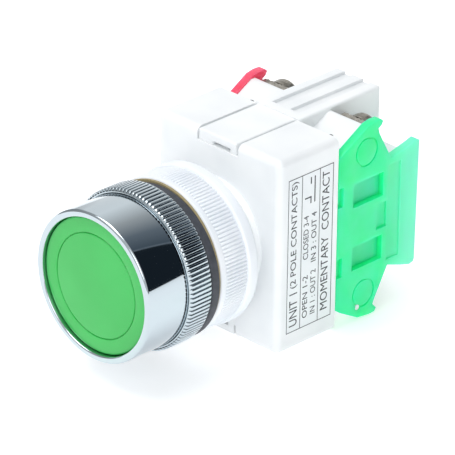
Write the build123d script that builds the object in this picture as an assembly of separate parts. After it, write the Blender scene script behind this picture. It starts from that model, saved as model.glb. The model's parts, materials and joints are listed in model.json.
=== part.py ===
"""Panel push button with a chrome head, a Ø22 threaded neck and a two-pole contact block.

Millimetres. The button axis lies along Y and the front faces -Y. +Z is up.
The origin is on the button axis, in the plane where the gasket meets the panel's front face.
"""

from build123d import *
import math
import os

os.makedirs("parts", exist_ok=True)

# Fits and gaps
running_gap = 0.05
touch_gap = 0.05
overcut = 1.0  # how far a cutting tool runs past the face it opens

# Head
press_travel = 4.0
bezel_radius = 13.95
bezel_bore_radius = 12.63
bezel_front = -16.25
bezel_rounding = (0.6, 0.3)  # outer and inner edge of the lip
ring_radius = 14.82
ring_tooth_depth = 0.35
ring_chamfer = 0.4
ring_front = -7.03
ring_rear = -1.92
ring_socket_depth = 1.4
ring_teeth = 110
socket_bevel = (0.35, 0.45)  # width and depth of the bevel where the bezel enters
cap_radius = 12.4
cap_wall = 1.2
cap_face = -15.45
cap_rounding = 0.45
insert_radius = 9.7
insert_thickness = 0.8
insert_gap = 0.12
insert_rounding = 0.15
flange_front = -13.85
flange_rear = -12.85

# Panel clamp
neck_radius = 11.0
neck_front = -6.5
seal_size = (10.8, 10.05, 0.7)  # outer radius, inner radius, thickness
thread_pitch = 1.5
thread_depth = 0.45
gasket_radius = 14.15
gasket_sag = (0.55, -0.15)
washer_radius = 14.2
washer_thickness = 0.5
washer_clearance = 0.2
nut_front_rim = 1.2
nut_rear_flange = 2.5
nut_rear = 9.5
nut_rim_radius = 14.85
nut_teeth_radius = 14.45
nut_tooth_depth = 0.3
nut_teeth = 100

# Plunger and its bore through the neck
stem_radius = 7.45
stem_wall = 2.0
stem_floor = 1.5
spring_pocket_radius = 10.0
spring_step = 4.0
spring_size = (8.7, 0.5, 6.5)  # mean radius, wire radius, turns
plunger_rear = 16.9
clip_groove = (15.3, 16.1)
clip_groove_depth = 0.6
clip_radius = 8.8
clip_half_opening = 3.0
bar_rear = 18.5
bar_half_length = 12.3
bar_half_height = 3.0
bar_peg_length = 2.5

# Base housing
base_half_width = 15.0
base_half_height = 18.7
base_front = 13.7
base_rear = 28.2
base_wall = 1.6
base_rounding = 1.3
channel_left = -5.2
channel_right = 4.9
channel_floor = 16.4

# Contact block
spine_half_width = 5.4
spine_top = 18.95
spine_bottom = 18.6
spine_rear = 48.7
spine_hollow = 4.2
groove_span = (1.2, 3.2)
groove_depth = 0.6
pod_side = 13.35
pod_rear = 36.1
pod_flange = 17.4
ramp_low = 15.0
ramp_high = 18.2
ramp_rear = 35.2
plate_thickness = 1.2
skirt_length = 3.0
skirt_wall = 1.0
chamber_half_height = 8.6
chamber_rear = 45.5
pole_x = 9.7
carrier_opening = (2.55, 2.1)
tongue_left = -4.9
tongue_right = 4.2
tongue_front = 13.95
tongue_top = 18.6
pry_slot = (-1.6, 2.8)
pry_slot_height = 0.8

# Contacts and terminals
strip_thickness = 0.8
strip_width = 3.6
tab_width = 6.0
tab_inner = 10.6
tab_outer = 17.4
contact_z = 4.7
contact_radius = 1.4
bridge_width = 2.8
bridge_thickness = 0.6
bridge_half_length = 6.2
open_gap = 2.4
nc_tab_front = 31.0
screw_z = 14.3
screw_head_radius = 3.4
screw_head_height = 2.7
screw_shank_radius = 1.75
screw_tip = 31.2
clamp_size = 6.6
clamp_thickness = 1.4
clamp_tooth_pitch = 0.9
cross_slot = (0.45, 2.1)  # half width and half length of the screwdriver cross
cross_depth = 1.3
carrier_size = (2.5, 2.0)
contact_spring_size = (1.0, 0.2)  # mean radius, wire radius
carrier_spring_size = (1.5, 0.2)

# Side covers
cover_inner = 13.4
cover_outer = 15.0
cover_front = 28.4
cover_rear = 48.4
window_floor = 0.5
circle_centre = (35.3, 13.8)
circle_radii = (2.4, 2.8)
circle_depth = 0.25
peg_radius = 1.0
peg_y = 31.4
peg_depth = 1.1
pin_place = (34.0, -16.3)
pin_radius = 0.5
pin_depth = 1.0

# Rating label
label_thickness = 0.08
label_box = (15.9, 27.0, -15.1, 14.6)


def block(x, y, z):
    """Box from three (low, high) pairs."""
    size = [high - low for low, high in (x, y, z)]
    middle = [(low + high) / 2 for low, high in (x, y, z)]
    return Pos(*middle) * Box(*size)


def rod(radius, y, x=0.0, z=0.0):
    """Solid cylinder along Y between a (front, rear) pair."""
    turned = Rot(-90, 0, 0) * Cylinder(radius, y[1] - y[0], align=(Align.CENTER, Align.CENTER, Align.MIN))
    return Pos(x, y[0], z) * turned


def side_rod(radius, x, y, z):
    """Solid cylinder along X between an (inner, outer) pair."""
    turned = Rot(0, 90, 0) * Cylinder(radius, x[1] - x[0], align=(Align.CENTER, Align.CENTER, Align.MIN))
    return Pos(x[0], y, z) * turned


def tube(outer, inner, y, x=0.0, z=0.0):
    return rod(outer, y, x, z) - rod(inner, (y[0] - 1, y[1] + 1), x, z)


def side_plate(points, x):
    """Closed outline of (y, z) points made a plate between an (inner, outer) pair of x."""
    outline = make_face(Polyline(*points, close=True))
    return Pos(x[0], 0, 0) * extrude(Plane.YZ * outline, x[1] - x[0])


def edges_at_y(solid, y):
    return solid.edges().filter_by(lambda edge: abs(edge.center().Y - y) < 1e-4)


def lathe(points):
    """Turn a closed outline of (radius, y) points about the button axis."""
    return revolve(make_face(Polyline(*points, close=True)), Axis.Y)


def toothed_rod(teeth, tip_radius, root_radius, y):
    """Rod with straight V teeth all the way round."""
    points = []
    for tooth in range(teeth):
        for step, radius in ((0.0, tip_radius), (0.25, tip_radius), (0.5, root_radius), (0.75, root_radius)):
            angle = 2 * math.pi * (tooth + step) / teeth
            points.append((radius * math.cos(angle), radius * math.sin(angle)))
    outline = make_face(Polyline(*points, close=True))
    return Pos(0, y[0], 0) * Rot(-90, 0, 0) * extrude(outline, y[1] - y[0])


def coil_spring(mean_radius, wire_radius, y, turns, x=0.0):
    """Helical spring whose wire fills the length between a (front, rear) pair."""
    height = y[1] - y[0] - 2 * wire_radius
    path = Helix(height / turns, height, mean_radius)
    section = Plane(path @ 0, z_dir=path % 0) * Circle(wire_radius)
    return Pos(x, y[0] + wire_radius, 0) * Rot(-90, 0, 0) * sweep(section, path, is_frenet=True)


def other_side(solid):
    return mirror(solid, about=Plane.YZ)


def other_end(solid):
    return mirror(solid, about=Plane.XY)


# Head: bezel, knurled ring, cap, plunger


def bezel_ring():
    shell = tube(bezel_radius, bezel_bore_radius, (bezel_front, ring_front + ring_socket_depth))
    shell = fillet(edges_at_y(shell, bezel_front).group_by(Edge.length)[-1], bezel_rounding[0])
    return fillet(edges_at_y(shell, bezel_front).group_by(Edge.length)[0], bezel_rounding[1])


def knurled_ring():
    ring = toothed_rod(ring_teeth, ring_radius, ring_radius - ring_tooth_depth, (ring_front, ring_rear))
    blank = rod(ring_radius + 0.01, (ring_front, ring_rear))
    ring = ring & chamfer(edges_at_y(blank, ring_front) + edges_at_y(blank, ring_rear), ring_chamfer)
    ring -= rod(neck_radius + running_gap, (ring_front - overcut, ring_rear + overcut))
    ring -= rod(bezel_radius, (ring_front - overcut, ring_front + ring_socket_depth))
    width, depth = socket_bevel
    entry = [
        (bezel_radius - width, ring_front - 0.1),
        (bezel_radius + width, ring_front - 0.1),
        (bezel_radius, ring_front + depth),
        (bezel_radius - width, ring_front + depth),
    ]
    return ring - lathe(entry)


def push_cap():
    cap = rod(cap_radius, (cap_face, flange_rear))
    cap -= rod(cap_radius - cap_wall, (flange_front, flange_rear + overcut))
    cap -= rod(insert_radius, (cap_face - overcut, cap_face + insert_thickness))
    outer = edges_at_y(cap, cap_face).group_by(Edge.length)[-1]
    return fillet(outer, cap_rounding)


def cap_insert():
    disc = rod(insert_radius - insert_gap, (cap_face, cap_face + insert_thickness))
    return fillet(edges_at_y(disc, cap_face), insert_rounding)


def plunger():
    stem = rod(stem_radius, (flange_rear, plunger_rear))
    flange = rod(cap_radius - cap_wall - running_gap, (flange_front, flange_rear))
    bore = rod(stem_radius - stem_wall, (flange_rear + stem_floor, plunger_rear + overcut))
    return stem + flange - bore - tube(stem_radius + overcut, stem_radius - clip_groove_depth, clip_groove)


def retaining_clip():
    front, rear = clip_groove
    clip = tube(clip_radius, stem_radius - clip_groove_depth + touch_gap, (front + touch_gap, rear - touch_gap))
    return clip - block((-clip_half_opening, clip_half_opening), clip_groove, (-clip_radius - overcut, 0))


def return_spring():
    seats = (flange_rear + touch_gap, spring_step - touch_gap)
    mean_radius, wire_radius, turns = spring_size
    return coil_spring(mean_radius, wire_radius, seats, turns)


def actuator_bar():
    long, tall = (-bar_half_length, bar_half_length), (-bar_half_height, bar_half_height)
    bar = block(long, (plunger_rear, bar_rear), tall)
    bar = fillet(bar.edges().filter_by(Axis.Y), 0.8)
    return bar + rod(stem_radius - stem_wall - running_gap, (plunger_rear - bar_peg_length, plunger_rear))


def neck_seal():
    outer, inner, thickness = seal_size
    return tube(outer, inner, (neck_front - thickness, neck_front))


# Panel clamp: gasket, washer, nut


def rubber_gasket():
    disc = rod(gasket_radius, (ring_rear + touch_gap, 0), *gasket_sag)
    disc = fillet(disc.edges().filter_by(GeomType.CIRCLE), 0.25)
    sag = math.hypot(*gasket_sag)
    return disc - rod(neck_radius + sag + touch_gap, (ring_rear - overcut, overcut), *gasket_sag)


def fibre_washer():
    return tube(washer_radius, neck_radius + washer_clearance, (touch_gap, washer_thickness))


def clamp_nut():
    front = washer_thickness + touch_gap
    band = (front + nut_front_rim, nut_rear - nut_rear_flange)
    teeth = toothed_rod(nut_teeth, nut_teeth_radius, nut_teeth_radius - nut_tooth_depth, band)
    rim = rod(nut_teeth_radius, (front, band[0]))
    rim = chamfer(edges_at_y(rim, front), 0.3)
    flange = rod(nut_rim_radius, (band[1], nut_rear))
    flange = fillet(edges_at_y(flange, nut_rear), 0.9)
    flange = fillet(edges_at_y(flange, band[1]), 0.4)
    return rim + teeth + flange - rod(neck_radius + running_gap, (front - overcut, nut_rear + overcut))


# Base housing


def threaded_neck():
    """Neck outline with one V groove for each turn of the thread."""
    groove_count = int((base_front - neck_front) / thread_pitch)
    points = [(spring_pocket_radius, neck_front), (neck_radius, neck_front)]
    for turn in range(groove_count):
        start = neck_front + 0.6 + turn * thread_pitch
        points += [
            (neck_radius, start),
            (neck_radius - thread_depth, start + thread_pitch / 2 - 0.1),
            (neck_radius, start + thread_pitch - 0.2),
        ]
    points += [(neck_radius, base_front + base_wall), (stem_radius + running_gap, base_front + base_wall)]
    points += [(stem_radius + running_gap, spring_step), (spring_pocket_radius, spring_step)]
    return lathe(points)


def base_housing():
    wide = (-base_half_width, base_half_width)
    tall = (-base_half_height, base_half_height)
    shell = block(wide, (base_front, base_rear), tall)
    rounded = shell.edges().filter_by(lambda edge: edge.center().Y < base_rear - 0.1)
    shell = fillet(rounded, base_rounding)
    channel = block((channel_left, channel_right), (base_front - overcut, base_rear + overcut), (channel_floor, base_half_height + overcut))
    shell -= channel
    shell -= other_end(channel)
    inner_x = base_half_width - base_wall
    inner_z = base_half_height - base_wall
    depth = (base_front + base_wall, base_rear + overcut)
    low = channel_floor - base_wall
    shell -= block((-inner_x, inner_x), depth, (-low, low))
    shell -= block((-inner_x, channel_left - base_wall), depth, (-inner_z, inner_z))
    shell -= block((channel_right + base_wall, inner_x), depth, (-inner_z, inner_z))
    shell -= rod(stem_radius + 1, (base_front - overcut, base_front + base_wall + overcut))
    return shell + threaded_neck()


def rating_label():
    front, rear, low, high = label_box
    return block((base_half_width, base_half_width + label_thickness), (front, rear), (low, high))


# Contact block


def pod_outline():
    """Flange behind the base housing, then a ramp that rises to the terminals, at both ends."""
    half = [
        (base_rear, pod_flange),
        (base_rear + plate_thickness, pod_flange),
        (base_rear + plate_thickness, ramp_low),
        (ramp_rear, ramp_high),
        (pod_rear, ramp_high),
    ]
    return half + [(y, -z) for y, z in reversed(half)]


def pole_shell():
    """Terminal blocks and contact chamber of the +X pole, closed by the cover on its outer side."""
    inner = spine_half_width - 0.5
    shell = side_plate(pod_outline(), (inner, pod_side))
    wall = chamber_half_height + plate_thickness
    shell += block((inner, pod_side), (base_rear, chamber_rear + plate_thickness), (-wall, wall))
    room = (-chamber_half_height, chamber_half_height)
    shell -= block((spine_half_width, pod_side + overcut), (base_rear + plate_thickness, chamber_rear), room)
    return shell


def spine():
    bar = block((-spine_half_width, spine_half_width), (base_rear, spine_rear), (-spine_bottom, spine_top))
    bar = fillet(bar.edges().filter_by(Axis.Y), 0.5)
    bar = fillet(bar.edges().filter_by(lambda edge: edge.center().Y > spine_rear - 0.01), 0.3)
    for side in (-1, 1):
        across = sorted(side * edge for edge in groove_span)
        length = (base_rear + 2, spine_rear + overcut)
        bar -= block(across, length, (spine_top - groove_depth, spine_top + overcut))
        bar -= block(across, length, (-spine_bottom - overcut, groove_depth - spine_bottom))
    return bar


def tongue():
    """Latch arm that lies in the base housing's top channel, with a pry slot under its lip."""
    arm = block((tongue_left, tongue_right), (tongue_front, base_rear + 0.5), (channel_floor + touch_gap, tongue_top))
    arm = fillet(arm.edges().group_by(Axis.Z)[-1].filter_by(lambda edge: edge.center().Y < base_rear), 0.3)
    slot_y = (tongue_front - overcut, tongue_front + 1.5)
    return arm - block(pry_slot, slot_y, (channel_floor, channel_floor + pry_slot_height))


def contact_block_housing():
    housing = spine() + pole_shell() + other_side(pole_shell())
    housing += tongue()
    housing += other_end(tongue())
    skirt_x = base_half_width - base_wall - 0.1
    skirt_z = channel_floor - base_wall - 0.1
    skirt_front = base_rear - skirt_length
    housing += block((-skirt_x, skirt_x), (skirt_front, base_rear + plate_thickness), (-skirt_z, skirt_z))
    hollow_x = skirt_x - skirt_wall
    hollow_z = skirt_z - skirt_wall
    housing -= block((-hollow_x, hollow_x), (skirt_front - overcut, base_rear), (-hollow_z, hollow_z))
    spine_room = (base_rear - overcut, spine_rear - plate_thickness)
    housing -= block((-spine_hollow, spine_hollow), spine_room, (-hollow_z, hollow_z))
    open_x, open_z = carrier_opening
    for side in (-1, 1):
        x = side * pole_x
        housing -= block((x - open_x, x + open_x), (base_rear - overcut, base_rear + 3), (-open_z, open_z))
        for end in (-1, 1):
            housing -= rod(screw_shank_radius + 0.35, (screw_tip - 1, pod_rear + overcut), x, end * screw_z)
            entry = sorted((end * (chamber_half_height - 1), end * tab_inner))
            slot = block(
                (x - strip_width / 2, x + strip_width / 2), (pod_rear, pod_rear + strip_thickness), entry
            )
            housing -= slot
            reach = sorted((side * (pod_side - peg_depth - 0.1), side * (pod_side + overcut)))
            housing -= side_rod(peg_radius + running_gap, reach, peg_y, end * circle_centre[1])
        reach = sorted((side * (pod_side - pin_depth), side * (pod_side + overcut)))
        housing -= side_rod(pin_radius, reach, *pin_place)
    return housing


def cover_pin():
    return side_rod(pin_radius, (pod_side - pin_depth, cover_outer - 0.1), *pin_place)


# Contacts: fixed strips, rivets, moving bridges, carriers and springs


def terminal_tab():
    tab_x = (pole_x - tab_width / 2, pole_x + tab_width / 2)
    tab = block(tab_x, (pod_rear, pod_rear + strip_thickness), (tab_inner, tab_outer))
    tab = fillet(tab.edges().filter_by(Axis.Y).group_by(Axis.Z)[-1], 0.6)
    return tab - rod(screw_shank_radius + running_gap, (pod_rear - overcut, pod_rear + 2), pole_x, screw_z)


def no_strip():
    strip_x = (pole_x - strip_width / 2, pole_x + strip_width / 2)
    arm = block(strip_x, (pod_rear, pod_rear + strip_thickness), (contact_z - 1.6, tab_inner))
    return terminal_tab() + arm


def nc_strip():
    strip_x = (pole_x - strip_width / 2, pole_x + strip_width / 2)
    leg_z = (7.2, 8.0)
    entry = block(strip_x, (pod_rear, pod_rear + strip_thickness), (leg_z[0], tab_inner))
    leg = block(strip_x, (nc_tab_front, pod_rear + strip_thickness), leg_z)
    arm = block(strip_x, (nc_tab_front, nc_tab_front + strip_thickness), (contact_z - 1.6, leg_z[1]))
    return terminal_tab() + entry + leg + arm


def no_rivets():
    rivet = rod(contact_radius, (pod_rear - bridge_thickness, pod_rear), pole_x, contact_z)
    return [rivet, other_end(rivet)]


def nc_rivets():
    face = nc_tab_front + strip_thickness
    rivet = rod(contact_radius, (face, face + bridge_thickness), pole_x, contact_z)
    return [rivet, other_end(rivet)]


def bridge(plate_front):
    bridge_x = (pole_x - bridge_width / 2, pole_x + bridge_width / 2)
    long = (-bridge_half_length, bridge_half_length)
    plate = block(bridge_x, (plate_front, plate_front + bridge_thickness), long)
    return fillet(plate.edges().filter_by(Axis.Y), 0.8)


def bridge_tips(front):
    tip = rod(contact_radius - 0.1, (front, front + bridge_thickness), pole_x, contact_z)
    return [tip, other_end(tip)]


def carrier(window, rear):
    """Push rod with a window for the bridge and its spring."""
    half_width, half_height = carrier_size
    outer_x = (pole_x - half_width, pole_x + half_width)
    body = block(outer_x, (bar_rear + touch_gap, rear), (-half_height, half_height))
    body = chamfer(body.edges().group_by(Axis.Y)[0], 0.4)
    inner_x = (pole_x - bridge_width / 2 - 0.1, pole_x + bridge_width / 2 + 0.1)
    return body - block(inner_x, window, (-half_height - overcut, half_height + overcut))


no_tip_rear = pod_rear - bridge_thickness - open_gap
no_plate_front = no_tip_rear - 2 * bridge_thickness
no_window = (27.0, no_plate_front + bridge_thickness + touch_gap)
no_carrier_rear = no_window[1] + 1.45
nc_tip_front = nc_tab_front + strip_thickness + bridge_thickness + touch_gap
nc_plate_front = nc_tip_front + bridge_thickness
nc_window = (nc_plate_front - touch_gap, nc_plate_front + 5.0)
nc_carrier_rear = nc_window[1] + 1.2


def contact_spring(y, turns):
    return coil_spring(*contact_spring_size, (y[0] + touch_gap, y[1] - touch_gap), turns, pole_x)


def carrier_spring(y, turns):
    return coil_spring(*carrier_spring_size, (y[0] + touch_gap, y[1] - touch_gap), turns, pole_x)


# Terminals


def terminal_screw():
    seat = pod_rear + strip_thickness + clamp_thickness + 2 * touch_gap
    top = seat + screw_head_height
    head = rod(screw_head_radius, (seat, top), pole_x, screw_z)
    head = fillet(edges_at_y(head, top), 0.9)
    for cross_x, cross_z in (cross_slot, cross_slot[::-1]):
        across, along = (pole_x - cross_x, pole_x + cross_x), (screw_z - cross_z, screw_z + cross_z)
        head -= block(across, (top - cross_depth, top + overcut), along)
    shank = rod(screw_shank_radius, (screw_tip, seat), pole_x, screw_z)
    shank = chamfer(edges_at_y(shank, screw_tip), 0.4)
    return head + shank


def terminal_clamp():
    """Square pressure plate under the screw head, with a row of biting teeth along two edges."""
    half = clamp_size / 2
    front = pod_rear + strip_thickness + touch_gap
    rear = front + clamp_thickness
    plate = block((pole_x - half, pole_x + half), (front, rear), (screw_z - half, screw_z + half))
    plate = fillet(plate.edges().filter_by(Axis.Y), 0.5)
    for step in range(-3, 4):
        place = Pos(pole_x + step * clamp_tooth_pitch, rear, screw_z)
        plate -= place * Rot(0, 0, 45) * Box(0.35, 0.35, clamp_size + overcut)
    return plate - rod(screw_shank_radius + 0.25, (front - overcut, rear + overcut), pole_x, screw_z)


def four_corners(solid):
    """Places of one terminal piece: (pole name, end name, solid)."""
    right = (("no", "upper", solid), ("no", "lower", other_end(solid)))
    left = tuple(("nc", end, other_side(piece)) for _, end, piece in right)
    return right + left


# Side covers


def cover_outline():
    """From the front edge round by the lower ear, the rear flap and the upper ear, which stands taller."""
    lower_ear = [
        (cover_front, -15.0),
        (29.5, -15.8),
        (34.0, -18.3),
        (36.9, -18.65),
        (38.4, -18.6),
        (38.8, -18.0),
        (37.9, -17.0),
        (38.2, -16.2),
    ]
    flap = [
        (41.4, -10.4),
        (44.8, -11.6),
        (47.1, -12.3),
        (48.1, -12.1),
        (cover_rear, -11.5),
        (cover_rear + 0.4, 11.0),
        (cover_rear + 0.4, 11.7),
        (48.3, 12.0),
        (46.9, 11.6),
        (41.7, 10.4),
    ]
    upper_ear = [
        (38.4, 16.4),
        (38.1, 17.3),
        (38.9, 17.8),
        (39.3, 18.5),
        (38.8, 18.95),
        (37.2, 19.0),
        (35.6, 18.7),
        (cover_front, 14.6),
    ]
    return lower_ear + flap + upper_ear


def side_cover():
    plate = side_plate(cover_outline(), (cover_inner, cover_outer))
    skin = cover_outer + overcut
    centre_y, centre_z = circle_centre
    for end in (-1, 1):
        plate -= block((cover_inner + window_floor, skin), (32.2, 39.8), sorted((end * 3.8, end * 8.5)))
        plate -= block((cover_outer - 0.7, skin), (cover_front - overcut, 29.7), sorted((end * 5.0, end * 8.8)))
        plate -= block((cover_inner - overcut, cover_inner + 0.7), (45.4, 47.6), sorted((end * 4.8, end * 9.5)))
        circle = side_rod(circle_radii[1], (cover_outer - circle_depth, skin), centre_y, end * centre_z)
        circle -= side_rod(circle_radii[0], (cover_inner, skin + overcut), centre_y, end * centre_z)
        plate -= circle
        plate += side_rod(peg_radius, (pod_side - peg_depth, cover_inner + 0.2), peg_y, end * centre_z)
    plate -= block((cover_outer - 0.6, skin), (38.3, 41.0), (-2.5, 2.5))
    plate -= block((cover_outer - 0.3, skin), (41.0, 44.2), (-9.3, 9.3))
    return plate - side_rod(pin_radius + 0.1, (cover_inner - overcut, skin), *pin_place)


def save(name, shape):
    """Write one node. A list of solids becomes one group."""
    whole = Compound(children=list(shape)) if isinstance(shape, list) else shape
    export_step(whole, f"parts/{name}.step")


nodes = {
    "bezel_ring": bezel_ring(),
    "knurled_ring": knurled_ring(),
    "push_cap": push_cap(),
    "cap_insert": cap_insert(),
    "plunger": plunger(),
    "retaining_clip": retaining_clip(),
    "return_spring": return_spring(),
    "actuator_bar": actuator_bar(),
    "neck_seal": neck_seal(),
    "rubber_gasket": rubber_gasket(),
    "fibre_washer": fibre_washer(),
    "clamp_nut": clamp_nut(),
    "base_housing": base_housing(),
    "rating_label": rating_label(),
    "contact_block_housing": contact_block_housing(),
    "cover_pins": [cover_pin(), other_side(cover_pin())],
    "no_fixed_contact_upper": no_strip(),
    "no_fixed_contact_lower": other_end(no_strip()),
    "nc_fixed_contact_upper": other_side(nc_strip()),
    "nc_fixed_contact_lower": other_side(other_end(nc_strip())),
    "no_contact_rivets": no_rivets(),
    "nc_contact_rivets": [other_side(rivet) for rivet in nc_rivets()],
    "no_carrier": carrier(no_window, no_carrier_rear),
    "nc_carrier": other_side(carrier(nc_window, nc_carrier_rear)),
    "no_bridge": bridge(no_plate_front),
    "nc_bridge": other_side(bridge(nc_plate_front)),
    "no_bridge_tips": bridge_tips(no_plate_front + bridge_thickness),
    "nc_bridge_tips": [other_side(tip) for tip in bridge_tips(nc_tip_front)],
    "no_contact_spring": contact_spring((no_window[0], no_plate_front), 7),
    "nc_contact_spring": other_side(contact_spring((nc_plate_front + bridge_thickness, nc_window[1]), 5)),
    "no_carrier_spring": carrier_spring((no_carrier_rear, chamber_rear), 8),
    "nc_carrier_spring": other_side(carrier_spring((nc_carrier_rear, chamber_rear), 4)),
    "green_cover": side_cover(),
    "red_cover": other_side(side_cover()),
}

for pole, end, piece in four_corners(terminal_screw()):
    nodes[f"{pole}_terminal_screw_{end}"] = piece
for pole, end, piece in four_corners(terminal_clamp()):
    nodes[f"{pole}_terminal_clamp_{end}"] = piece

for name, shape in nodes.items():
    save(name, shape)
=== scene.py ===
import json
import math

import bmesh
import bpy
from mathutils import Matrix, Vector


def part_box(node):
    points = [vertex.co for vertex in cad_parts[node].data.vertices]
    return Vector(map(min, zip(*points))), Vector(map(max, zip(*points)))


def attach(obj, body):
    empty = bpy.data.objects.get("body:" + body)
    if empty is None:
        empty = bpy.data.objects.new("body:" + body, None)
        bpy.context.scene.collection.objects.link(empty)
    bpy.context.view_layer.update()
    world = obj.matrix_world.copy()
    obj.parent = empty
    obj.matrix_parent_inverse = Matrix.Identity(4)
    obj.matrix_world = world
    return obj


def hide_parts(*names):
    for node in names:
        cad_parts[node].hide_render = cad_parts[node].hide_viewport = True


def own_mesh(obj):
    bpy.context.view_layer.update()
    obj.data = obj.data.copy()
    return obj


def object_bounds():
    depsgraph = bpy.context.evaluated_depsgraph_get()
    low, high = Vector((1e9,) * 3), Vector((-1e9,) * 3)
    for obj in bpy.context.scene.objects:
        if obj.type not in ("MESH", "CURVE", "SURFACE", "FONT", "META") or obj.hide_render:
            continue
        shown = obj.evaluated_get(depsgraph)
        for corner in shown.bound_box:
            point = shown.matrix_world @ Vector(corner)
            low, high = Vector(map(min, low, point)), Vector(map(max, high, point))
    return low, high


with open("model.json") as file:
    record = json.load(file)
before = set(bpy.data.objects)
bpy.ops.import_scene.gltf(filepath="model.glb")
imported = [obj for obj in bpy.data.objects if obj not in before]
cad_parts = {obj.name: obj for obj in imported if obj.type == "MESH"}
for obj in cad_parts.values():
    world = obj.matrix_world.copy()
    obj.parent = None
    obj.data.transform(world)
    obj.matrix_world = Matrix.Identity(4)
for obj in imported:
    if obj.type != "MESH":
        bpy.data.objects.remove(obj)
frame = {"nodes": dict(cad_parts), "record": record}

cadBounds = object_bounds()
mm = 0.001
nodes = frame["nodes"]
print("frame loaded:", len(nodes), "CAD nodes")


def linearColour(hexText, alpha=1.0):
    # sRGB hex to the linear values the shaders want
    parts = [int(hexText[i:i + 2], 16) / 255 for i in (1, 3, 5)]
    return tuple(c / 12.92 if c <= 0.04045 else ((c + 0.055) / 1.055) ** 2.4 for c in parts) + (alpha,)


def addNode(tree, kind, inputs=None, **settings):
    node = tree.nodes.new(kind)
    for key, value in settings.items():
        setattr(node, key, value)
    for key, value in (inputs or {}).items():
        if isinstance(value, bpy.types.NodeSocket):
            tree.links.new(value, node.inputs[key])
        else:
            node.inputs[key].default_value = value
    return node


def newMaterial(name):
    material = bpy.data.materials.new(name)
    material.use_nodes = True
    tree = material.node_tree
    tree.nodes.clear()
    shader = addNode(tree, "ShaderNodeBsdfPrincipled")
    addNode(tree, "ShaderNodeOutputMaterial", {"Surface": shader.outputs[0]})
    return material, tree, shader


def objectNoise(tree, sizeMm, detail=3.0, roughness=0.5):
    # noise whose lumps are about sizeMm across, in Object coordinates
    place = addNode(tree, "ShaderNodeTexCoord")
    return addNode(tree, "ShaderNodeTexNoise", {
        "Vector": place.outputs["Object"], "Scale": 1 / (sizeMm * mm), "Detail": detail, "Roughness": roughness})


def remap(tree, value, low, high, fromLow=0.3, fromHigh=0.7):
    return addNode(tree, "ShaderNodeMapRange", {
        "Value": value, "From Min": fromLow, "From Max": fromHigh, "To Min": low, "To Max": high}).outputs[0]


def blendColours(tree, factor, first, second):
    # each of the two is a colour or another node's output
    mix = addNode(tree, "ShaderNodeMix", data_type="RGBA")
    given = {"Factor_Float": factor, "A_Color": first, "B_Color": second}
    for socket in mix.inputs:
        value = given.get(socket.identifier)
        if isinstance(value, bpy.types.NodeSocket):
            tree.links.new(value, socket)
        elif value is not None:
            socket.default_value = value
    return [s for s in mix.outputs if s.identifier == "Result_Color"][0]


def addBump(tree, shader, height, distanceMm, strength=1.0):
    bump = addNode(tree, "ShaderNodeBump", {"Height": height, "Distance": distanceMm * mm, "Strength": strength})
    tree.links.new(bump.outputs[0], shader.inputs["Normal"])


def mouldedPlastic(name, values):
    # injection-moulded ABS or nylon: a soft sheen over a fine spark-eroded grain, a little uneven in tone
    material, tree, shader = newMaterial(name)
    tone = objectNoise(tree, values["mottleMm"], 2)
    colour = blendColours(tree, remap(tree, tone.outputs[0], 0, 1), linearColour(values["dark"]),
                          linearColour(values["light"]))
    tree.links.new(colour, shader.inputs["Base Color"])
    grain = objectNoise(tree, values["grainMm"], 2)
    tree.links.new(remap(tree, grain.outputs[0], values["roughLow"], values["roughHigh"]),
                   shader.inputs["Roughness"])
    addBump(tree, shader, grain.outputs[0], values["grainDepthMm"], 0.5)
    shader.inputs["IOR"].default_value = values["ior"]
    return material


whiteNylonValues = {"light": "#f4f6f7", "dark": "#ebeef0", "mottleMm": 9.0, "grainMm": 0.22, "grainDepthMm": 0.012,
                    "roughLow": 0.38, "roughHigh": 0.52, "ior": 1.53}
nutNylonValues = {"light": "#f3f6fa", "dark": "#e9eef4", "mottleMm": 7.0, "grainMm": 0.2, "grainDepthMm": 0.01,
                  "roughLow": 0.42, "roughHigh": 0.56, "ior": 1.53}
blackNylonValues = {"light": "#1f2022", "dark": "#151618", "mottleMm": 5.0, "grainMm": 0.2, "grainDepthMm": 0.01,
                    "roughLow": 0.45, "roughHigh": 0.6, "ior": 1.53}
labelFilmValues = {"light": "#f0f3f5", "dark": "#e9edf0", "mottleMm": 6.0, "grainMm": 0.15, "grainDepthMm": 0.004,
                   "roughLow": 0.3, "roughHigh": 0.42, "ior": 1.5}
capPlasticValues = {"light": "#37b955", "dark": "#31b04e", "mottleMm": 12.0, "grainMm": 0.3, "grainDepthMm": 0.003,
                    "roughLow": 0.16, "roughHigh": 0.22, "ior": 1.5}
gasketRubberValues = {"light": "#454850", "dark": "#383b42", "mottleMm": 1.2, "grainMm": 0.12, "grainDepthMm": 0.02,
                      "roughLow": 0.55, "roughHigh": 0.72, "ior": 1.52}
printInkValues = {"light": "#3a3e42", "dark": "#24272a", "mottleMm": 0.5, "grainMm": 0.1, "grainDepthMm": 0.002,
                  "roughLow": 0.5, "roughHigh": 0.65, "ior": 1.5}


def chromePlate():
    # bright nickel-chrome over polished brass: a mirror with a faint blue cast and slight handling haze
    values = {"colour": "#bfc9cf", "hazeMm": 3.5, "roughLow": 0.035, "roughHigh": 0.075, "orangePeelMm": 1.4,
              "peelDepthMm": 0.0012}
    material, tree, shader = newMaterial("chromePlate")
    shader.inputs["Base Color"].default_value = linearColour(values["colour"])
    shader.inputs["Metallic"].default_value = 1.0
    haze = objectNoise(tree, values["hazeMm"], 4, 0.6)
    tree.links.new(remap(tree, haze.outputs[0], values["roughLow"], values["roughHigh"]),
                   shader.inputs["Roughness"])
    peel = objectNoise(tree, values["orangePeelMm"], 1)
    addBump(tree, shader, peel.outputs[0], values["peelDepthMm"], 0.6)
    return material


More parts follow.
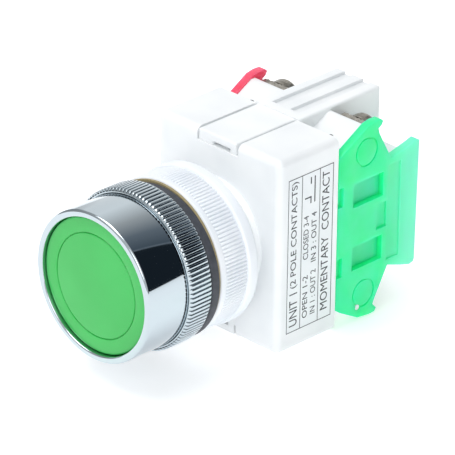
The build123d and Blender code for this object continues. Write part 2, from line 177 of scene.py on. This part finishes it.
def satinMetal(name, light, dark, roughLow, roughHigh):
    # plated or drawn metal: satin reflections broken by fine scratches and dull spots
    values = {"spotMm": 1.1, "scratchMm": 0.25, "scratchDepthMm": 0.01}
    material, tree, shader = newMaterial(name)
    shader.inputs["Metallic"].default_value = 1.0
    spots = objectNoise(tree, values["spotMm"], 4, 0.65)
    tree.links.new(blendColours(tree, remap(tree, spots.outputs[0], 0, 1), linearColour(dark), linearColour(light)),
                   shader.inputs["Base Color"])
    scratches = objectNoise(tree, values["scratchMm"], 3)
    tree.links.new(remap(tree, scratches.outputs[0], roughLow, roughHigh), shader.inputs["Roughness"])
    addBump(tree, shader, scratches.outputs[0], values["scratchDepthMm"], 0.5)
    return material


def vulcanisedFibre():
    # pressed cotton fibre: dull tan with short fibres showing
    values = {"dark": "#8f8260", "light": "#b0a27a", "fibreMm": 0.35, "fibreDepthMm": 0.03, "roughness": 0.8}
    material, tree, shader = newMaterial("vulcanisedFibre")
    fibres = objectNoise(tree, values["fibreMm"], 4, 0.7)
    tree.links.new(blendColours(tree, remap(tree, fibres.outputs[0], 0, 1), linearColour(values["dark"]),
                                linearColour(values["light"])), shader.inputs["Base Color"])
    shader.inputs["Roughness"].default_value = values["roughness"]
    addBump(tree, shader, fibres.outputs[0], values["fibreDepthMm"], 0.6)
    return material


def translucentPlastic(name, values):
    # pigmented translucent polypropylene: light soaks in and glows out of thin walls and edges, helped by a faint
    # painted glow
    values = {**values, "mottleMm": 6.0, "grainMm": 0.25, "grainDepthMm": 0.01, "roughLow": 0.28, "roughHigh": 0.42,
              "ior": 1.49, "soakMm": 3.0, "soak": 0.8, "transmission": 0.12, "paintedGlow": 0.05,
              "paintedBacklitSpan": (40.0, 46.0)}
    material, tree, shader = newMaterial(name)
    tone = objectNoise(tree, values["mottleMm"], 2)
    body = blendColours(tree, remap(tree, tone.outputs[0], 0, 1), linearColour(values["deep"]),
                        linearColour(values["glow"]))
    place = addNode(tree, "ShaderNodeTexCoord")
    axes = addNode(tree, "ShaderNodeSeparateXYZ", {0: place.outputs["Object"]})
    # painted backlight: the flap stands clear behind the block, so light comes through it, and its colour is painted
    # paler there
    clear = remap(tree, axes.outputs["Y"], 0, 1, *(edge * mm for edge in values["paintedBacklitSpan"]))
    tree.links.new(blendColours(tree, clear, body, linearColour(values["flap"])), shader.inputs["Base Color"])
    grain = objectNoise(tree, values["grainMm"], 2)
    tree.links.new(remap(tree, grain.outputs[0], values["roughLow"], values["roughHigh"]),
                   shader.inputs["Roughness"])
    addBump(tree, shader, grain.outputs[0], values["grainDepthMm"], 0.4)
    shader.inputs["IOR"].default_value = values["ior"]
    shader.inputs["Transmission Weight"].default_value = values["transmission"]
    shader.inputs["Subsurface Weight"].default_value = values["soak"]
    shader.inputs["Subsurface Radius"].default_value = values["radius"]
    shader.inputs["Subsurface Scale"].default_value = values["soakMm"] * mm
    # painted glow: emission in the body colour stands for light that the white block behind sends back through the
    # sheet
    tree.links.new(body, shader.inputs["Emission Color"])
    shader.inputs["Emission Strength"].default_value = values["paintedGlow"]
    return material


chrome = chromePlate()
whiteNylon = mouldedPlastic("whiteNylon", whiteNylonValues)
nutNylon = mouldedPlastic("whiteNutNylon", nutNylonValues)
blackNylon = mouldedPlastic("blackNylon", blackNylonValues)
labelFilm = mouldedPlastic("labelVinylFilm", labelFilmValues)
capPlastic = mouldedPlastic("greenPolycarbonate", capPlasticValues)
gasketRubber = mouldedPlastic("nitrileRubber", gasketRubberValues)
printInk = mouldedPlastic("blackPrintInk", printInkValues)
fibre = vulcanisedFibre()
springSteel = satinMetal("springSteelWire", "#a5a8ab", "#85888c", 0.28, 0.4)
zincPlate = satinMetal("zincPlatedSteel", "#b9b4aa", "#6f6a62", 0.25, 0.45)
tinnedBrass = satinMetal("tinnedBrassStrip", "#b4b2ab", "#8d8a82", 0.3, 0.42)
contactSilver = satinMetal("silverAlloy", "#e6e4df", "#c9c6c0", 0.3, 0.45)
# the last colour of each is painted backlight, the paler colour painted on the flap
greenTranslucent = translucentPlastic("greenPolypropylene", {
    "deep": "#12fc92", "glow": "#2effac", "flap": "#74ffc8", "radius": (0.5, 1.0, 0.8)})
redTranslucent = translucentPlastic("redPolypropylene", {
    "deep": "#ff3c5c", "glow": "#ff5c7e", "flap": "#ff8aa4", "radius": (1.0, 0.4, 0.5)})

slotMaterials = {
    "chrome_plated_brass": chrome, "cap_plastic": capPlastic, "black_plastic": blackNylon,
    "white_plastic": whiteNylon, "nut_plastic": nutNylon, "gasket_rubber": gasketRubber,
    "seal_rubber": gasketRubber, "vulcanised_fibre": fibre, "label_film": labelFilm,
    "green_translucent_plastic": greenTranslucent, "red_translucent_plastic": redTranslucent,
    "spring_steel": springSteel, "zinc_plated_steel": zincPlate, "brass_strip": tinnedBrass,
    "silver_contact": contactSilver, "pin_plastic": whiteNylon,
}
for entry in frame["record"]["subparts"]:
    cadObject = nodes[entry["node"]]
    cadObject.data.materials.clear()
    cadObject.data.materials.append(slotMaterials[entry["material_slot"]])
print("materials on CAD nodes")


def meshObject(name, verts, faces, material, smooth=True, sharpAngle=35):
    mesh = bpy.data.meshes.new(name)
    mesh.from_pydata(verts, [], faces)
    mesh.update()
    shaped = bmesh.new()
    shaped.from_mesh(mesh)
    bmesh.ops.recalc_face_normals(shaped, faces=shaped.faces)
    shaped.to_mesh(mesh)
    shaped.free()
    mesh.materials.append(material)
    if smooth:
        mesh.polygons.foreach_set("use_smooth", [True] * len(mesh.polygons))
        mesh.set_sharp_from_angle(angle=math.radians(sharpAngle))
    result = bpy.data.objects.new(name, mesh)
    bpy.context.scene.collection.objects.link(result)
    return result


def roundedProfile(corners, steps=5):
    # corners are (radius, y, rounding) in mm; each corner becomes a small arc
    points = []
    count = len(corners)
    for index, (r, y, rounding) in enumerate(corners):
        corner = Vector((r, y))
        if rounding <= 0:
            points.append(corner)
            continue
        before = (Vector(corners[index - 1][:2]) - corner).normalized()
        after = (Vector(corners[(index + 1) % count][:2]) - corner).normalized()
        half = before.angle(after) / 2
        reach = rounding / math.tan(half)
        centre = corner + (before + after).normalized() * (rounding / math.sin(half))
        start = (corner + before * reach - centre).normalized()
        end = (corner + after * reach - centre).normalized()
        for step in range(steps + 1):
            points.append(centre + start.slerp(end, step / steps).normalized() * rounding)
    return points


def lathe(name, corners, material, segments=256, centre=(0, 0)):
    # closed outline in (radius, y) turned about the button axis
    profile = roundedProfile(corners)
    count = len(profile)
    verts, faces = [], []
    for segment in range(segments):
        angle = 2 * math.pi * segment / segments
        for point in profile:
            verts.append(((point.x * math.sin(angle) + centre[0]) * mm, point.y * mm,
                          (point.x * math.cos(angle) + centre[1]) * mm))
    for segment in range(segments):
        a, b = segment * count, (segment + 1) % segments * count
        for i in range(count):
            j = (i + 1) % count
            faces.append((a + i, a + j, b + j, b + i))
    return meshObject(name, verts, faces, material)


def turnedDisc(name, corners, material, segments):
    # an outline that starts and ends on the axis; the two poles are closed with one fan each
    profile = roundedProfile(corners)
    count = len(profile)
    inner = profile[1:-1]
    verts = [(0, profile[0].y * mm, 0), (0, profile[-1].y * mm, 0)]
    faces = []
    for segment in range(segments):
        angle = 2 * math.pi * segment / segments
        for point in inner:
            verts.append((point.x * math.sin(angle) * mm, point.y * mm, point.x * math.cos(angle) * mm))
    width = count - 2
    for segment in range(segments):
        a, b = 2 + segment * width, 2 + (segment + 1) % segments * width
        faces.append((0, a, b))
        faces.append((1, b + width - 1, a + width - 1))
        for i in range(width - 1):
            faces.append((a + i, a + i + 1, b + i + 1, b + i))
    return meshObject(name, verts, faces, material)


def ribTemplate(name, values, material):
    # one rib standing on the ring at the top: a flat land with rounded shoulders and sloping ends
    r0, height, width = values["rootRadius"], values["ribHeight"], values["ribWidth"]
    y0, y1, end = values["front"], values["rear"], values["endSlope"]
    verts, faces = [], []
    across, power = 8, 2 / values["squareness"]
    bend, bendShare = 0.3 * end, 0.62     # where each end's slope bends, and the share of the height it has there
    stations = ((y0, 0.0), (y0 + bend, bendShare), (y0 + end, 1.0), (y1 - end, 1.0), (y1 - bend, bendShare),
                (y1, 0.0))
    for y, share in stations:
        for i in range(across + 1):
            angle = math.pi * i / across
            rise = height * share * abs(math.sin(angle)) ** power
            spread = width / 2 * math.copysign(abs(math.cos(angle)) ** power, math.cos(angle))
            verts.append((spread * mm, y * mm, (r0 + rise) * mm))
    row = across + 1
    for s in range(len(stations) - 1):
        for i in range(across):
            a = s * row + i
            faces.append((a, a + 1, a + row + 1, a + row))
    return meshObject(name, verts, faces, material, sharpAngle=80)


def turnTree(name, material):
    # Geometry Nodes: a template repeated round the button axis
    tree = bpy.data.node_groups.new(name, "GeometryNodeTree")
    face = tree.interface
    face.new_socket("Count", in_out="INPUT", socket_type="NodeSocketInt")
    face.new_socket("Template", in_out="INPUT", socket_type="NodeSocketObject")
    face.new_socket("Geometry", in_out="OUTPUT", socket_type="NodeSocketGeometry")
    given = addNode(tree, "NodeGroupInput")
    points = addNode(tree, "GeometryNodePoints", {"Count": given.outputs["Count"]})
    step = addNode(tree, "ShaderNodeMath", {0: 2 * math.pi, 1: given.outputs["Count"]}, operation="DIVIDE")
    index = addNode(tree, "GeometryNodeInputIndex")
    turn = addNode(tree, "ShaderNodeMath", {0: index.outputs[0], 1: step.outputs[0]}, operation="MULTIPLY")
    rotation = addNode(tree, "ShaderNodeCombineXYZ", {"Y": turn.outputs[0]})
    template = addNode(tree, "GeometryNodeObjectInfo", {"Object": given.outputs["Template"]})
    repeated = addNode(tree, "GeometryNodeInstanceOnPoints", {
        "Points": points.outputs[0], "Instance": template.outputs["Geometry"], "Rotation": rotation.outputs[0]})
    realised = addNode(tree, "GeometryNodeRealizeInstances", {"Geometry": repeated.outputs[0]})
    painted = addNode(tree, "GeometryNodeSetMaterial", {"Geometry": realised.outputs[0], "Material": material})
    addNode(tree, "NodeGroupOutput", {"Geometry": painted.outputs[0]})
    return tree


def turnedCopies(name, template, count, material):
    tree = turnTree(name + "Tree", material)
    host = bpy.data.objects.new(name, bpy.data.meshes.new(name + "Host"))
    bpy.context.scene.collection.objects.link(host)
    modifier = host.modifiers.new("repeat", "NODES")
    modifier.node_group = tree
    wanted = {"Count": count, "Template": template}
    for item in tree.interface.items_tree:
        if item.in_out == "INPUT":
            modifier[item.identifier] = wanted[item.name]
    host.update_tag()
    bpy.context.view_layer.update()
    evaluated = host.evaluated_get(bpy.context.evaluated_depsgraph_get())
    made = bpy.data.meshes.new_from_object(evaluated)
    host.modifiers.remove(modifier)
    host.data = made
    bpy.data.objects.remove(template)
    print(name, "faces:", len(made.polygons))
    return host


def joined(name, *parts):
    # several meshes as one piece
    base = bmesh.new()
    for part in parts:
        base.from_mesh(part.data)
    mesh = bpy.data.meshes.new(name)
    base.to_mesh(mesh)
    base.free()
    for material in parts[0].data.materials:
        mesh.materials.append(material)
    for part in parts:
        bpy.data.objects.remove(part)
    result = bpy.data.objects.new(name, mesh)
    bpy.context.scene.collection.objects.link(result)
    return result


def mergedCopy(name, nodeName, flatAngle=0.0):
    # a CAD solid as one skin; faces that lie flat together within flatAngle degrees become one
    shaped = bmesh.new()
    shaped.from_mesh(nodes[nodeName].data)
    bmesh.ops.remove_doubles(shaped, verts=shaped.verts, dist=0.001 * mm)
    if flatAngle:
        bmesh.ops.dissolve_limit(shaped, angle_limit=math.radians(flatAngle), verts=shaped.verts, edges=shaped.edges)
    mesh = bpy.data.meshes.new(name)
    shaped.to_mesh(mesh)
    shaped.free()
    result = bpy.data.objects.new(name, mesh)
    bpy.context.scene.collection.objects.link(result)
    return result


def softenedCopy(name, nodeName, material, widthMm):
    # a CAD solid whose edges are rounded as a mould leaves them
    values = {"flatAngle": 0.5, "roundedFrom": 32, "segments": 3, "sharpAngle": 40}
    rough = mergedCopy(name + "Rough", nodeName, values["flatAngle"])
    bevel = rough.modifiers.new("edges", "BEVEL")
    bevel.width = widthMm * mm
    bevel.segments = values["segments"]
    bevel.limit_method = "ANGLE"
    bevel.angle_limit = math.radians(values["roundedFrom"])
    bpy.context.view_layer.update()
    made = bpy.data.meshes.new_from_object(rough.evaluated_get(bpy.context.evaluated_depsgraph_get()))
    bpy.data.objects.remove(rough)
    made.name = name
    made.materials.clear()
    made.materials.append(material)
    made.polygons.foreach_set("use_smooth", [True] * len(made.polygons))
    made.set_sharp_from_angle(angle=math.radians(values["sharpAngle"]))
    result = bpy.data.objects.new(name, made)
    bpy.context.scene.collection.objects.link(result)
    print(name, "faces:", len(made.polygons))
    return result


def finishPiece(piece, body, slotName, *replaced):
    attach(piece, body)
    if replaced:
        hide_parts(*replaced)


def boxMm(node):
    low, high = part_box(node)
    return low / mm, high / mm


slightEdge = 0.1     # rounding of edges that barely show
ribSink = 0.02       # how deep a rib's foot stands in its ring

bezelLow, bezelHigh = boxMm("bezel_ring")
ringLow, ringHigh = boxMm("knurled_ring")
capLow, capHigh = boxMm("push_cap")
insertLow, insertHigh = boxMm("cap_insert")

# head: sizes in mm, and how many segments each turned piece has
bezel = {"lip": 0.55, "innerRounding": 0.35, "bore": 12.63, "segments": 360}
bezelRadius = bezelHigh.x
bezelPiece = lathe("bezel_shell", [
    (bezelRadius, bezelLow.y, bezel["lip"]),
    (bezelRadius, bezelHigh.y, slightEdge),
    (bezel["bore"], bezelHigh.y, slightEdge),
    (bezel["bore"], bezelLow.y, bezel["innerRounding"]),
], chrome, bezel["segments"])
finishPiece(bezelPiece, "head_ring", "chrome_plated_brass", "bezel_ring")

# "gap" clears the bezel all round, and "setBack" lets the ribs' ends stand in front of the ring's face
knurl = {"count": 110, "ribHeight": 0.4, "ribWidth": 0.6, "squareness": 6.5, "endSlope": 0.45, "edge": 0.3,
         "bore": 11.05, "socketDepth": 1.45, "gap": 0.05, "setBack": 0.06, "entryEdge": 0.08, "segments": 330}
ringRadius = (ringHigh.x - ringLow.x) / 2
rootRadius = ringRadius - knurl["ribHeight"]
ringBody = lathe("ringBody", [
    (rootRadius, ringLow.y + knurl["setBack"], knurl["edge"]),
    (rootRadius, ringHigh.y, knurl["edge"]),
    (knurl["bore"], ringHigh.y, 0),
    (knurl["bore"], ringLow.y + knurl["socketDepth"], 0),
    (bezelRadius + knurl["gap"], ringLow.y + knurl["socketDepth"], 0),
    (bezelRadius + knurl["gap"], ringLow.y + knurl["setBack"], knurl["entryEdge"]),
], chrome, knurl["segments"])
rib = ribTemplate("ribTemplate", {
    "rootRadius": rootRadius - ribSink, "ribHeight": knurl["ribHeight"] + ribSink, "ribWidth": knurl["ribWidth"],
    "squareness": knurl["squareness"],
    "front": ringLow.y, "rear": ringHigh.y, "endSlope": knurl["endSlope"]}, chrome)
ribs = turnedCopies("ringRibs", rib, knurl["count"], chrome)
ringPiece = joined("knurled_ring_chrome", ringBody, ribs)
finishPiece(ringPiece, "head_ring", "chrome_plated_brass", "knurled_ring")

# "snug" is how much wider the cap is drawn, so that only a fine gap shows inside the bezel
cap = {"edge": 0.4, "grooveEdge": 0.2, "groove": 0.1, "grooveDepth": 0.24, "snug": 0.12, "wall": 1.2,
       "web": 0.8, "shelf": 2.0, "seatGap": 0.01, "segments": 360}
capRadius = capHigh.x + cap["snug"]
insertRadius = insertHigh.x
recess = insertRadius + cap["groove"]
capPiece = lathe("cap_ring_green", [
    (capRadius, capLow.y, cap["edge"]),
    (capRadius, capHigh.y, slightEdge),
    (capRadius - cap["wall"], capHigh.y, slightEdge / 2),
    (capRadius - cap["wall"], insertHigh.y + cap["web"], slightEdge),
    (recess - cap["shelf"], insertHigh.y + cap["web"], 0),
    (recess - cap["shelf"], insertHigh.y, 0),
    (recess, insertHigh.y, 0),
    (recess, capLow.y, cap["grooveEdge"]),
], capPlastic, cap["segments"])
finishPiece(capPiece, "button", "cap_plastic", "push_cap")
collarRadius, seat = recess - cap["seatGap"], insertHigh.y - cap["seatGap"]
insertPiece = turnedDisc("cap_disc_green", [
    (0, insertLow.y, 0),
    (insertRadius, insertLow.y, cap["grooveEdge"]),
    (insertRadius, insertLow.y + cap["grooveDepth"], slightEdge / 2),
    (collarRadius, insertLow.y + cap["grooveDepth"], 0),
    (collarRadius, seat, 0),
    (0, seat, 0),
], capPlastic, cap["segments"])
finishPiece(insertPiece, "button", "cap_plastic", "cap_insert")
print("head made")


gasketLow, gasketHigh = boxMm("rubber_gasket")
gasket = {"edge": 0.35, "bore": 11.8}
gasketCentre = ((gasketLow.x + gasketHigh.x) / 2, (gasketLow.z + gasketHigh.z) / 2)
gasketPiece = lathe("gasket_rubber_ring", [
    ((gasketHigh.x - gasketLow.x) / 2, gasketLow.y, gasket["edge"]),
    ((gasketHigh.x - gasketLow.x) / 2, gasketHigh.y, gasket["edge"]),
    (gasket["bore"], gasketHigh.y, slightEdge),
    (gasket["bore"], gasketLow.y, slightEdge),
], gasketRubber, centre=gasketCentre)
finishPiece(gasketPiece, "base", "gasket_rubber", "rubber_gasket")

washerLow, washerHigh = boxMm("fibre_washer")
washer = {"edge": 0.08, "innerEdge": 0.03, "bore": 11.2}
washerPiece = lathe("fibre_washer_ring", [
    (washerHigh.x, washerLow.y, washer["edge"]),
    (washerHigh.x, washerHigh.y, washer["edge"]),
    (washer["bore"], washerHigh.y, washer["innerEdge"]),
    (washer["bore"], washerLow.y, washer["innerEdge"]),
], fibre)
finishPiece(washerPiece, "washer", "vulcanised_fibre", "fibre_washer")

nutLow, nutHigh = boxMm("clamp_nut")
nut = {"count": 132, "ribHeight": 0.3, "ribWidth": 0.5, "squareness": 2.2, "endSlope": 0.3, "bandRadius": 14.15,
       "rim": 1.2, "rimFrontEdge": 0.35, "rimRearEdge": 0.18, "flange": 2.5, "flangeFrontEdge": 0.4,
       "flangeRearEdge": 0.95, "rimRadius": 14.45, "bore": 11.05, "boreEdge": 0.3, "rimSlope": 0.15,
       "flangeSlope": 0.1, "ribStart": 0.1, "ribEnd": 0.02, "segments": 264}
bandFront, bandRear = nutLow.y + nut["rim"], nutHigh.y - nut["flange"]
nutBody = lathe("nutBody", [
    (nut["rimRadius"], nutLow.y, nut["rimFrontEdge"]),
    (nut["rimRadius"], bandFront, nut["rimRearEdge"]),
    (nut["bandRadius"], bandFront + nut["rimSlope"], slightEdge),
    (nut["bandRadius"], bandRear - nut["flangeSlope"], slightEdge),
    (nutHigh.x, bandRear, nut["flangeFrontEdge"]),
    (nutHigh.x, nutHigh.y, nut["flangeRearEdge"]),
    (nut["bore"], nutHigh.y, nut["boreEdge"]),
    (nut["bore"], nutLow.y, slightEdge),
], nutNylon, nut["segments"])
nutRib = ribTemplate("nutRibTemplate", {
    "rootRadius": nut["bandRadius"] - ribSink, "ribHeight": nut["ribHeight"] + ribSink,
    "ribWidth": nut["ribWidth"], "squareness": nut["squareness"],
    "front": bandFront + nut["ribStart"], "rear": bandRear - nut["ribEnd"], "endSlope": nut["endSlope"]}, nutNylon)
nutRibs = turnedCopies("nutRibs", nutRib, nut["count"], nutNylon)
nutPiece = joined("clamp_nut_white", nutBody, nutRibs)
finishPiece(nutPiece, "nut", "nut_plastic", "clamp_nut")
print("panel clamp made")


# side covers and contact block: moulded edges
softEdges = {"cover": 0.28, "block": 0.22}
for colour, material in (("green", greenTranslucent), ("red", redTranslucent)):
    coverPiece = softenedCopy(colour + "_side_cover", colour + "_cover", material, softEdges["cover"])
    finishPiece(coverPiece, colour + "_cover", colour + "_translucent_plastic", colour + "_cover")
blockPiece = softenedCopy("contact_block_shell", "contact_block_housing", whiteNylon, softEdges["block"])
finishPiece(blockPiece, "base", "white_plastic", "contact_block_housing")
print("block and covers made")


# springs, each copied as one skin onto its body: body, which end stays on it, and how far the other end comes in as
# the button goes in
springs = {"return_spring": ("base", "rear", 4.0), "no_carrier_spring": ("base", "rear", 4.0),
           "nc_carrier_spring": ("base", "rear", 4.0), "no_contact_spring": ("no_carrier", "front", 1.64)}
for nodeName, (body, heldEnd, shortening) in springs.items():
    springPiece = mergedCopy(nodeName + "_coil", nodeName)
    springPiece.data.materials.append(springSteel)
    springPiece.data.polygons.foreach_set("use_smooth", [True] * len(springPiece.data.polygons))
    finishPiece(springPiece, body, "spring_steel", nodeName)
    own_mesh(springPiece)
print("springs made")


# each line of print: words, column, distance into it, letter height, then the heights where it starts and ends
label = {"filmShare": 0.5, "inkThickness": 0.02, "line": 0.13, "columns": (0.305, 0.7), "print": (
    ("UNIT 1", 0, 0.7, 1.9, -14.0, -7.6), ("(2 POLE CONTACTS)", 0, 0.8, 1.8, -6.6, 13.9),
    ("OPEN 1-2", 1, 0.5, 1.25, -13.4, -5.2), ("CLOSED 3-4", 1, 0.5, 1.25, -2.0, 6.4),
    ("IN 1 : OUT 2", 1, 2.45, 1.25, -13.2, -4.6), ("IN 3 : OUT 4", 1, 2.45, 1.25, -3.0, 6.6),
    ("MOMENTARY  CONTACT", 2, 0.6, 1.75, -13.4, 13.6)),
    # bars of the contact symbol: (from, to) across the second column, then (from, to) in height
    "symbol": ((2.05, 2.3, 8.6, 9.7), (2.05, 2.3, 12.3, 13.6), (0.7, 2.3, 9.7, 9.95), (3.0, 3.25, 8.6, 13.6))}
labelLow, labelHigh = boxMm("rating_label")
inkX = labelLow.x + (labelHigh.x - labelLow.x) * label["filmShare"]


def slab(low, high):
    # eight corners and six faces of a box, in mm
    verts = [(x * mm, y * mm, z * mm) for x in (low[0], high[0]) for y in (low[1], high[1])
             for z in (low[2], high[2])]
    faces = [(0, 1, 3, 2), (4, 6, 7, 5), (0, 4, 5, 1), (2, 3, 7, 6), (0, 2, 6, 4), (1, 5, 7, 3)]
    return verts, faces


def slabs(name, boxes, material):
    verts, faces = [], []
    for low, high in boxes:
        more, sides = slab(low, high)
        faces += [tuple(i + len(verts) for i in side) for side in sides]
        verts += more
    return meshObject(name, verts, faces, material, smooth=False)


filmPiece = slabs("label_film", [((labelLow.x, labelLow.y, labelLow.z), (inkX, labelHigh.y, labelHigh.z))],
                  labelFilm)
finishPiece(filmPiece, "base", "label_film", "rating_label")


def printedText(name, text, frontY, capHeight, startZ, endZ):
    # text that runs up the side: its letters' tops point to the front; it is fitted between two heights
    halfThickness = 0.5
    curve = bpy.data.curves.new(name, "FONT")
    curve.body = text
    curve.extrude = halfThickness
    curve.align_x = "LEFT"
    curve.resolution_u = 4
    written = bpy.data.objects.new(name, curve)
    bpy.context.scene.collection.objects.link(written)
    bpy.context.view_layer.update()
    mesh = bpy.data.meshes.new_from_object(written.evaluated_get(bpy.context.evaluated_depsgraph_get()))
    bpy.data.objects.remove(written)
    xs = [v.co.x for v in mesh.vertices]
    ys = [v.co.y for v in mesh.vertices]
    along = (endZ - startZ) / (max(xs) - min(xs))
    tall = capHeight / (max(ys) - min(ys))
    for vertex in mesh.vertices:
        x, y, z = vertex.co
        vertex.co = ((inkX + label["inkThickness"] * (z + halfThickness)) * mm,
                     (frontY + capHeight - (y - min(ys)) * tall) * mm,
                     (startZ + (x - min(xs)) * along) * mm)
    mesh.materials.clear()
    mesh.materials.append(printInk)
    result = bpy.data.objects.new(name, mesh)
    bpy.context.scene.collection.objects.link(result)
    return result


def labelPrint():
    width = labelHigh.y - labelLow.y
    columns = [labelLow.y] + [labelLow.y + share * width for share in label["columns"]] + [labelHigh.y]
    inkTop = inkX + label["inkThickness"]
    line = label["line"]
    boxes = []
    for y in columns:
        edge = min(max(y, labelLow.y + line / 2), labelHigh.y - line / 2)
        boxes.append(((inkX, edge - line / 2, labelLow.z), (inkTop, edge + line / 2, labelHigh.z)))
    for z in (labelLow.z + line / 2, labelHigh.z - line / 2):
        boxes.append(((inkX, labelLow.y, z - line / 2), (inkTop, labelHigh.y, z + line / 2)))
    parts = [slabs("labelLines", boxes, printInk)]
    for index, (words, column, inset, height, startZ, endZ) in enumerate(label["print"]):
        parts.append(printedText(f"text{index}", words, columns[column] + inset, height, startZ, endZ))
    second = columns[1]
    symbol = [((inkX, second + y0, z0), (inkTop, second + y1, z1)) for y0, y1, z0, z1 in label["symbol"]]
    parts.append(slabs("contactSymbol", symbol, printInk))
    return joined("label_print", *parts)


printPiece = labelPrint()
finishPiece(printPiece, "base", "label_film")
print("label made")


def stageFloor():
    floor = {"size": 3.0, "below": 0.2, "light": "#f6f7f8", "dark": "#f4f5f6", "mottleMm": 30.0, "glow": 0.4}
    lowest = cadBounds[0][2] - floor["below"] * mm
    half = floor["size"] / 2
    material, tree, shader = newMaterial("paleFloor")
    tone = objectNoise(tree, floor["mottleMm"], 2)
    tree.links.new(blendColours(tree, remap(tree, tone.outputs[0], 0, 1), linearColour(floor["dark"]),
                                linearColour(floor["light"])), shader.inputs["Base Color"])
    shader.inputs["Roughness"].default_value = 0.9
    shader.inputs["Emission Color"].default_value = (1, 1, 1, 1)
    shader.inputs["Emission Strength"].default_value = floor["glow"]
    verts = [(-half, -half, lowest), (half, -half, lowest), (half, half, lowest), (-half, half, lowest)]
    result = meshObject("floor", verts, [(0, 1, 2, 3)], material, smooth=False)


def softLight(name, place, size, power):
    # a square panel that faces the part
    light = bpy.data.lights.new(name, "AREA")
    light.shape = "RECTANGLE"
    light.size, light.size_y = size, size
    light.energy = power
    lamp = bpy.data.objects.new(name, light)
    bpy.context.scene.collection.objects.link(lamp)
    lamp.location = place
    lamp.rotation_euler = (-Vector(place)).to_track_quat("-Z", "Y").to_euler()


def studioWorld():
    # a pale room that darkens to the rear right, where a black flag gives the chrome its sharp dark band;
    # "rear" has (place from right to left, brightness), and the two fades say where front turns to rear and left
    room = {"front": 0.77, "frontLeft": 0.42, "colour": "#f5f7f8", "shade": "#a8cdf0",
            "rear": ((-1.0, 0.03), (-0.478, 0.032), (-0.470, 0.26), (-0.455, 0.26), (-0.445, 0.16), (-0.17, 0.27),
                     (0.18, 0.56), (0.58, 1.12), (0.78, 1.05), (0.88, 0.42), (1.0, 0.32)),
            "rearFade": (0.0, 0.25), "leftFade": (-0.2, -0.85)}
    pale, shade = (Vector(linearColour(room[key])[:3]) for key in ("colour", "shade"))
    world = bpy.data.worlds.new("studio")
    bpy.context.scene.world = world
    world.use_nodes = True
    tree = world.node_tree
    tree.nodes.clear()
    place = addNode(tree, "ShaderNodeTexCoord")
    axes = addNode(tree, "ShaderNodeSeparateXYZ", {0: place.outputs["Generated"]})
    leftward = addNode(tree, "ShaderNodeMapRange", {"Value": axes.outputs["X"], "From Min": 1.0, "From Max": -1.0})
    ramp = addNode(tree, "ShaderNodeValToRGB", {"Fac": leftward.outputs[0]})
    while len(ramp.color_ramp.elements) < len(room["rear"]):
        ramp.color_ramp.elements.new(0.5)
    for stop, (leftShare, level) in zip(ramp.color_ramp.elements, room["rear"]):
        stop.position = (leftShare + 1) / 2
        stop.color = (*(shade.lerp(pale, min(level * 2, 1)) * level), 1)
    toRear = remap(tree, axes.outputs["Y"], 0, 1, *room["rearFade"])
    toLeft = remap(tree, axes.outputs["X"], 0, 1, *room["leftFade"])
    front = blendColours(tree, toLeft, (*(pale * room["front"]), 1), (*(pale * room["frontLeft"]), 1))
    light = blendColours(tree, toRear, front, ramp.outputs["Color"])
    background = addNode(tree, "ShaderNodeBackground", {"Color": light, "Strength": 1.0})
    addNode(tree, "ShaderNodeOutputWorld", {"Surface": background.outputs[0]})


def framedView():
    view = {"azimuth": 44.761, "elevation": 26.701, "roll": 0.773, "distance": 0.81716,
            "target": (0.00485, 0.01139, 0.00365), "lens": 373.77, "sensor": 36.0}
    a, e, roll = (math.radians(view[key]) for key in ("azimuth", "elevation", "roll"))
    back = Vector((math.sin(a) * math.cos(e), -math.cos(a) * math.cos(e), math.sin(e)))
    right = Vector((math.cos(a), math.sin(a), 0))
    up = back.cross(right)
    right, up = (right * math.cos(roll) + up * math.sin(roll), up * math.cos(roll) - right * math.sin(roll))
    camera = bpy.data.cameras.new("camera")
    camera.lens = view["lens"]
    camera.sensor_width = view["sensor"]
    camera.clip_start, camera.clip_end = 0.01, 10
    result = bpy.data.objects.new("camera", camera)
    bpy.context.scene.collection.objects.link(result)
    place = Vector(view["target"]) + back * view["distance"]
    result.matrix_world = Matrix.Translation(place) @ Matrix((right, up, back)).transposed().to_4x4()
    bpy.context.scene.camera = result


stageFloor()
studioWorld()
# place and size in metres, power in watts
lights = {"frontKey": ((1.0, -1.0, 0.8), 0.9, 5.4), "topFront": ((-0.25, -0.3, 1.35), 1.0, 10.9)}
for lightName, (place, size, power) in lights.items():
    softLight(lightName, place, size, power)
framedView()
bpy.context.scene.view_settings.view_transform = "Standard"
print("stage set")
